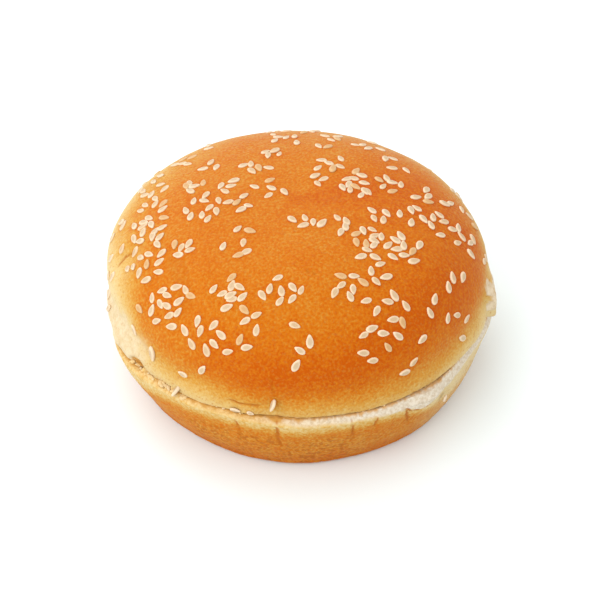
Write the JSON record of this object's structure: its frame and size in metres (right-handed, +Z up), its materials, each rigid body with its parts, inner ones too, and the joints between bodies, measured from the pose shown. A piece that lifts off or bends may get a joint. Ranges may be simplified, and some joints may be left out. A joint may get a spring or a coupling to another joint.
{
  "type": "hamburger bun",
  "caption": "Round domed bread bun topped with sesame seeds, cut level into a crown and a heel that lie one on the other.",
  "frame": {"origin": "middle of the flat base of the heel, where the bun rests", "axes": "+Z up through the dome, -Y towards the side seen in front, +X to the right"},
  "size_m": [0.1047, 0.1025, 0.0507],
  "materials": {
    "crown": "baked crust, satin, golden at the lower edge, with pale seeds",
    "heel": "baked crust, matt, with a pale crumb cut face"
  },
  "bodies": {
    "root": {"crown": "crown", "heel": "heel"}
  },
  "joints": []
}
